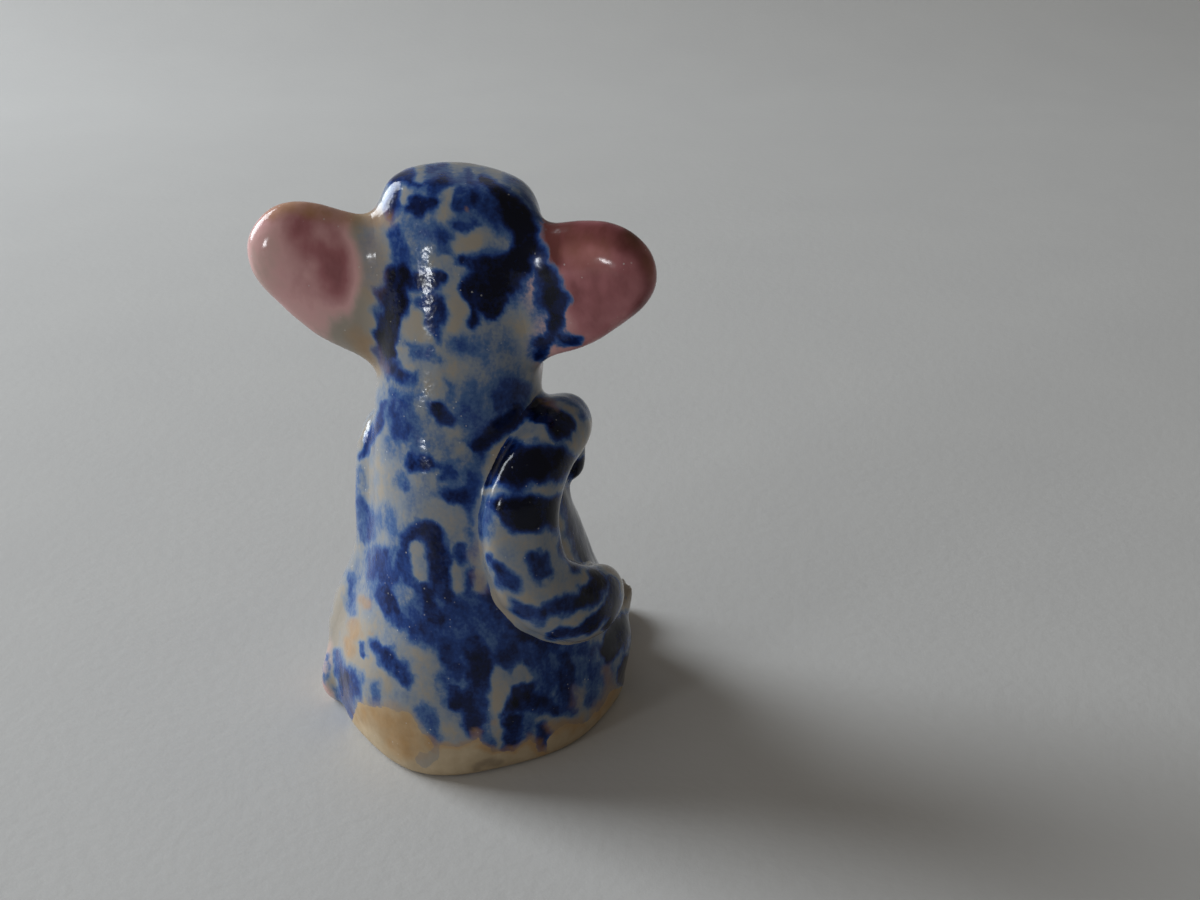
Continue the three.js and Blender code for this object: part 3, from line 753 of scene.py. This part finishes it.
def brushed(strokes, across, down, ragged, softness=STROKE_SOFTNESS):
    """How much colour strokes leave at places in the photograph's frame: the fuller one where two cross."""
    total = np.zeros(len(across))
    for colour, path in strokes:
        outside = np.full(len(across), np.inf)
        widest = max(half_width for _, _, half_width in path)
        for begin, end in zip(path, path[1:] or path):
            along = np.subtract(end, begin)
            length = max(along[0] ** 2 + along[1] ** 2, 1e-9)
            share = np.clip(((across - begin[0]) * along[0] + (down - begin[1]) * along[1]) / length, 0, 1)
            gap = np.hypot(across - begin[0] - share * along[0], down - begin[1] - share * along[1])
            outside = np.minimum(outside, gap - (begin[2] + share * along[2]) * (1 + ragged))
        edge = max(min(SOFT_EDGE, widest), softness * widest) * (HARD_EDGE - colour)
        total += (colour * smoothstep(edge, -INNER_EDGE * edge, outside)) ** STROKE_POWER
    return np.minimum(total ** (1 / STROKE_POWER), 1)


def paint_layers(node, points, normals, nearest):
    """How much of each colour lies at each point of a piece."""
    across, down, depth = in_photo(points)
    to_camera = CAMERA_PLACE - points
    to_camera /= np.linalg.norm(to_camera, axis=1, keepdims=True)
    facing = np.einsum("ij,ij->i", normals, to_camera)
    seen = smoothstep(*SEEN_FACING, facing) * sight(across, down, depth, nearest)
    x, y, z = points.T
    ragged = RAGGED_SHARES[0] * wobble(x, y, z, RAGGED_WAVES[0], seed=11)
    ragged = ragged + RAGGED_SHARES[1] * wobble(x, y, z, RAGGED_WAVES[1], seed=12)
    pink = brushed(PINK, across, down, ragged, PINK_SOFTNESS)
    pink = pink * (1 - brushed(PINK_BARE, across, down, ragged, PINK_SOFTNESS))
    shift = EDGE_SHIFT * smoothstep(*SHIFT_SETS_IN, facing)
    long_wave, short_wave = EDGE_WAVES
    across = across + shift * (
        wobble(x, y, z, long_wave, seed=14) + 0.5 * wobble(x, y, z, short_wave, seed=16)
    )
    down = down + shift * (wobble(x, y, z, long_wave, seed=15) + 0.5 * wobble(x, y, z, short_wave, seed=17))
    pink_node = node in PINK_NODES
    if node in ARM_NODES:
        blue = brushed(ARM_BLUE, across, down, ragged)
    else:
        blue = brushed(HEAD_BLUE + BACK_BLUE + LOW_BLUE, across, down, ragged)
        blue = np.maximum(blue, brushed(WASH, across, down, ragged, WASH_SOFTNESS))
        blue = blue * (1 - brushed(BARE, across, down, ragged))
    mean, uneven = HIDDEN_PINK
    hidden_pink = mean + uneven * wobble(x, y, z, HIDDEN_PINK_WAVE, seed=13) if pink_node else 0
    if node == "right_hand":
        wrist = node_middle(node)[1]
        hidden_pink = hidden_pink * smoothstep(wrist + WRIST_FADE[0], wrist + WRIST_FADE[1], y)
    pink = pink * seen + hidden_pink * (1 - seen)
    blue = blue * seen + hidden_dabs(points, ragged) * (1 - seen) * (0 if pink_node else 1)
    edge = np.interp(across, *np.array(GLAZE_EDGE).T)
    seen_clay = smoothstep(-GLAZE_EDGE_SOFTNESS, GLAZE_EDGE_SOFTNESS, down - edge + 4 * ragged)
    seen_clay = seen_clay * (1 - brushed(GLAZE_DROP, across, down, ragged))
    hidden_clay = smoothstep(*HIDDEN_GLAZE_EDGE, z + 2 * ragged)
    clay = (seen_clay * seen + hidden_clay * (1 - seen)) * smoothstep(*CLAY_TOP, z)
    return {
        "blue": blue,
        "pink": pink,
        "ochre": brushed(OCHRE_AND_SHADE, across, down, ragged) * seen,
        "clay": clay,
        "smudge": brushed(SMUDGE, across, down, ragged) * seen,
        "wash": np.full(len(points), 0.0 if pink_node else 1.0),
    }


def hidden_dabs(points, ragged):
    """Dabs of the same brush on the sides that the photograph doesn't show."""
    random = np.random.default_rng(21)
    total = np.zeros(len(points))
    low, high = (np.array(corner) / MM for corner in cad_box)
    for _ in range(HIDDEN_DABS):
        place = random.uniform(low, high)
        long_way = random.normal(size=3)
        long_way /= np.linalg.norm(long_way)
        offset = points - place
        shortened = offset - (offset @ long_way)[:, None] * long_way * random.uniform(*DAB_SHORTENING)
        size = random.uniform(*DAB_SIZES)
        spread = np.linalg.norm(shortened, axis=1) / size + ragged
        total = np.maximum(total, random.uniform(*DAB_COLOURS) * smoothstep(*DAB_EDGE, spread))
    return total


# Materials. Colours are the usual 0 to 255 numbers, and sizes and depths are in millimetres.

CREAM = (158, 149, 135)
DARK_CREAM = (145, 137, 126)
COBALT = [
    (0.0, (154, 147, 135)),
    (0.2, (128, 136, 146)),
    (0.4, (74, 102, 144)),
    (0.6, (32, 61, 122)),
    (0.8, (13, 29, 73)),
    (1.0, (4, 8, 27)),
]
ROSE = [
    (0.0, (178, 166, 152)),
    (0.4, (206, 160, 158)),
    (0.65, (160, 103, 106)),
    (0.85, (122, 70, 72)),
    (1.0, (98, 53, 50)),
]
STAIN = (182, 142, 90)
DARK_STAIN = (148, 108, 60)
CLAY = (188, 170, 142)
DARK_CLAY = (160, 141, 112)
SMUDGED_CLAY = (96, 84, 72)
PIT = (206, 204, 200)
BEAD = (14, 14, 20)
PALE_BEAD = (34, 34, 48)
SHEET = (194, 193, 190)
DARK_SHEET = (188, 187, 185)

MIDDLE_NOISE = (0.3, 0.7)  # where most of a noise's values lie
CLOUD_SIZE = 7.0
MOTTLE_SIZE = 2.2
MOTTLE_RUN = 0.6
GRAIN_SIZE = 0.45
MOTTLING = 0.12
GRAININESS = 0.05
VEIL = (0.03, 0.18)  # a thin blue over the cream, least and most
ROSE_MOTTLING = 0.35  # share of the blue's
PIT_SPACING = 1.1
PIT_SIZE = (0.08, 0.12)  # shares of the spacing
PIT_STRENGTH = 0.45
GLAZE_ROUGHNESS = (0.09, 0.17)
CLAY_ROUGHNESS = 0.5  # on top of the glaze's
GLAZE_SPECULAR = 0.22
GLAZE_RELIEF = 0.07
PINK_RELIEF = 0.4  # share of the relief that the blue has


def linear(red, green, blue):
    """A colour from the usual 0 to 255 numbers, as light."""
    levels = [value / 255 for value in (red, green, blue)]
    return (*[v / 12.92 if v <= 0.04045 else ((v + 0.055) / 1.055) ** 2.4 for v in levels], 1.0)


class Shader:
    """A material with its nodes, and short ways to add to them."""

    def __init__(self, name):
        self.material = bpy.data.materials.new(name)
        self.material.use_nodes = True
        self.nodes = self.material.node_tree.nodes
        self.links = self.material.node_tree.links
        self.surface = self.nodes["Principled BSDF"]
        self.place = self.nodes.new("ShaderNodeTexCoord").outputs["Object"]

    def put(self, value, socket):
        if isinstance(value, bpy.types.NodeSocket):
            self.links.new(value, socket)
        else:
            socket.default_value = value

    def layer(self, name):
        node = self.nodes.new("ShaderNodeAttribute")
        node.attribute_name = name
        return node.outputs["Fac"]

    def noise(self, size_mm, detail=3.0, roughness=0.55, run=1.0):
        """Cloudy noise of a given size. A run below one draws it out downwards, as a glaze runs."""
        stretch = self.nodes.new("ShaderNodeMapping")
        stretch.inputs["Scale"].default_value = (1.0, 1.0, run)
        self.links.new(self.place, stretch.inputs["Vector"])
        node = self.nodes.new("ShaderNodeTexNoise")
        node.inputs["Scale"].default_value = 1 / (size_mm * MM)
        node.inputs["Detail"].default_value = detail
        node.inputs["Roughness"].default_value = roughness
        self.links.new(stretch.outputs["Vector"], node.inputs["Vector"])
        return node.outputs["Fac"]

    def cells(self, size_mm):
        node = self.nodes.new("ShaderNodeTexVoronoi")
        node.inputs["Scale"].default_value = 1 / (size_mm * MM)
        self.links.new(self.place, node.inputs["Vector"])
        return node.outputs["Distance"]

    def math(self, operation, one, other):
        node = self.nodes.new("ShaderNodeMath")
        node.operation = operation
        self.put(one, node.inputs[0])
        self.put(other, node.inputs[1])
        return node.outputs[0]

    def times(self, one, other):
        return self.math("MULTIPLY", one, other)

    def plus(self, one, other):
        return self.math("ADD", one, other)

    def between(self, value, low, high, to_low=0.0, to_high=1.0):
        node = self.nodes.new("ShaderNodeMapRange")
        node.interpolation_type = "SMOOTHSTEP"
        self.put(value, node.inputs["Value"])
        node.inputs["From Min"].default_value = low
        node.inputs["From Max"].default_value = high
        node.inputs["To Min"].default_value = to_low
        node.inputs["To Max"].default_value = to_high
        return node.outputs["Result"]

    def mixed(self, share, one, other):
        node = self.nodes.new("ShaderNodeMix")
        node.data_type = "RGBA"
        self.put(share, node.inputs["Factor"])
        self.put(one, node.inputs[6])
        self.put(other, node.inputs[7])
        return node.outputs[2]

    def ramp(self, value, stops):
        node = self.nodes.new("ShaderNodeValToRGB")
        self.links.new(value, node.inputs["Fac"])
        elements = node.color_ramp.elements
        while len(elements) < len(stops):
            elements.new(0.5)
        for element, (position, colour) in zip(elements, stops):
            element.position = position
            element.color = linear(*colour)
        return node.outputs["Color"]

    def finish(self, colour, roughness, height, depth_mm):
        """Sets the surface's colour and gloss, and its relief of a given depth."""
        self.put(colour, self.surface.inputs["Base Color"])
        self.put(roughness, self.surface.inputs["Roughness"])
        bump = self.nodes.new("ShaderNodeBump")
        bump.inputs["Distance"].default_value = depth_mm * MM
        self.put(height, bump.inputs["Height"])
        self.put(bump.outputs["Normal"], self.surface.inputs["Normal"])
        return self.material


def glaze_material():
    """Cobalt, rose and ochre under a clear glaze, and bare clay below its lower edge. Some of the strokes are
    painted shade.
    """
    shader = Shader("painted_glaze")
    cloud = shader.noise(CLOUD_SIZE, detail=2)
    mottle = shader.noise(MOTTLE_SIZE, detail=3, run=MOTTLE_RUN)
    grain = shader.noise(GRAIN_SIZE, detail=2)

    cream = shader.mixed(cloud, linear(*CREAM), linear(*DARK_CREAM))
    veil = shader.times(shader.layer("wash"), shader.between(cloud, 0.4, 0.65, *VEIL))
    laid = shader.math("MAXIMUM", shader.layer("blue"), veil)
    patchy = shader.between(mottle, *MIDDLE_NOISE, -MOTTLING, MOTTLING)
    grainy = shader.between(grain, *MIDDLE_NOISE, -GRAININESS, GRAININESS)
    uneven = shader.times(shader.plus(patchy, grainy), shader.between(laid, 0.0, 0.35, 0.3, 1.0))
    blue = shader.plus(laid, uneven)
    cobalt = shader.ramp(blue, COBALT)
    colour = shader.mixed(shader.between(blue, 0.0, 0.12), cream, cobalt)

    flushed = shader.plus(shader.layer("pink"), shader.times(patchy, ROSE_MOTTLING))
    rose = shader.ramp(flushed, ROSE)
    open_ground = shader.between(blue, 0.15, 0.5, 1.0, 0.0)
    colour = shader.mixed(shader.times(shader.between(flushed, 0.1, 0.35), open_ground), colour, rose)

    stain = shader.mixed(shader.noise(1.2), linear(*STAIN), linear(*DARK_STAIN))
    # The ochre layer is ochre stain, and along the left ear's top rim also painted shade.
    stain_and_shade = shader.times(shader.layer("ochre"), shader.between(mottle, *MIDDLE_NOISE, 0.6, 1.0))
    colour = shader.mixed(shader.times(stain_and_shade, 0.8), colour, stain)

    bare = shader.plus(shader.layer("clay"), shader.between(grain, 0.2, 0.8, -0.15, 0.15))
    bare = shader.between(bare, 0.35, 0.65)
    clay = shader.mixed(shader.noise(1.6, detail=6), linear(*CLAY), linear(*DARK_CLAY))
    clay = shader.mixed(shader.times(stain_and_shade, 0.85), clay, stain)
    clay = shader.mixed(shader.times(shader.layer("smudge"), 0.6), clay, linear(*SMUDGED_CLAY))
    colour = shader.mixed(bare, colour, clay)

    pits = shader.between(shader.cells(PIT_SPACING), *PIT_SIZE, 1.0, 0.0)
    pits = shader.times(pits, shader.between(shader.noise(4.0), 0.5, 0.62))
    colour = shader.mixed(shader.times(pits, PIT_STRENGTH), colour, linear(*PIT))

    gloss = shader.between(mottle, *MIDDLE_NOISE, *GLAZE_ROUGHNESS)
    roughness = shader.plus(gloss, shader.times(bare, CLAY_ROUGHNESS))
    shader.put(GLAZE_SPECULAR, shader.surface.inputs["Specular IOR Level"])
    height = shader.plus(shader.noise(2.0, detail=2), shader.times(shader.noise(0.7, detail=1), 0.3))
    height = shader.math("SUBTRACT", height, shader.times(pits, 0.3))
    height = shader.times(height, shader.between(shader.layer("wash"), 0.0, 1.0, PINK_RELIEF, 1.0))
    return shader.finish(colour, roughness, height, GLAZE_RELIEF)


def bead_material():
    shader = Shader("dark_bead")
    colour = shader.mixed(shader.noise(0.8), linear(*BEAD), linear(*PALE_BEAD))
    roughness = shader.between(shader.noise(0.6), *MIDDLE_NOISE, 0.05, 0.1)
    return shader.finish(colour, roughness, shader.noise(0.7), 0.02)


def sheet_material():
    shader = Shader("paper")
    colour = shader.mixed(shader.noise(30), linear(*SHEET), linear(*DARK_SHEET))
    return shader.finish(colour, 0.9, shader.noise(2.0), 0.05)


# Stage and light, in metres and watts

MIDDLE = (0, 0, 0.05)
WINDOW_COLOUR = (0.94, 1.0, 1.06)
SIDE_COLOUR = (0.97, 1.0, 1.03)
ROOM_COLOUR = (1.0, 0.92, 0.82, 1.0)
ROOM_STRENGTH = 0.165


def add_stage():
    """A plain pale sheet that lies flat and rises softly behind the figurine."""
    behind = Vector(level)
    aside = Vector(camera_right)
    profile = [(SHEET_FRONT, 0.0), (SWEEP_START, 0.0)]
    for step in range(1, SWEEP_STEPS + 1):
        angle = step / SWEEP_STEPS * math.pi / 2
        out = SWEEP_RADIUS * math.sin(angle)
        up = SWEEP_RADIUS * (1 - math.cos(angle))
        profile.append((SWEEP_START + out, up))
    profile.append((SWEEP_START + SWEEP_RADIUS, SHEET_TOP))
    corners = [
        behind * distance + aside * side + Vector((0, 0, height))
        for distance, height in profile
        for side in SHEET_SIDES
    ]
    strips = [(2 * i, 2 * i + 1, 2 * i + 3, 2 * i + 2) for i in range(len(profile) - 1)]
    mesh = bpy.data.meshes.new("paper")
    mesh.from_pydata(corners, [], strips)
    mesh.shade_smooth()
    mesh.materials.append(sheet_material())
    floor = bpy.data.objects.new("paper", mesh)
    bpy.context.scene.collection.objects.link(floor)


def add_light(name, place, aim, width, height, power, colour):
    data = bpy.data.lights.new(name, "AREA")
    data.shape = "RECTANGLE"
    data.size = width
    data.size_y = height
    data.energy = power
    data.color = colour
    light = bpy.data.objects.new(name, data)
    light.location = place
    light.rotation_euler = (Vector(aim) - Vector(place)).to_track_quat("-Z", "Y").to_euler()
    bpy.context.scene.collection.objects.link(light)
    return light


def add_lights():
    """A large window on the left of the camera's view, a small one, a broad dim one, and a dim room."""
    add_light(
        "window",
        place=(1.18, -0.2, 0.52),
        aim=(0, 0.1, 0.02),
        width=0.64,
        height=0.9,
        power=22,
        colour=WINDOW_COLOUR,
    )
    add_light(
        "side_window",
        place=(0.33, 0.5, 0.1),
        aim=MIDDLE,
        width=0.08,
        height=0.04,
        power=0.5,
        colour=SIDE_COLOUR,
    )
    broad = add_light(
        "broad_window",
        place=(0.6, 0.55, 0.3),
        aim=MIDDLE,
        width=0.6,
        height=0.5,
        power=0.75,
        colour=SIDE_COLOUR,
    )
    broad.visible_glossy = False
    world = bpy.data.worlds.new("room")
    bpy.context.scene.world = world
    world.use_nodes = True
    background = world.node_tree.nodes["Background"]
    background.inputs["Color"].default_value = ROOM_COLOUR
    background.inputs["Strength"].default_value = ROOM_STRENGTH
    bpy.context.scene.view_settings.view_transform = "Standard"


form, shares = clay_form()
form = pressed_details(form)
add_clay_pieces(form, shares, glaze_material())
add_eyes(bead_material())
add_stage()
add_lights()
add_camera()
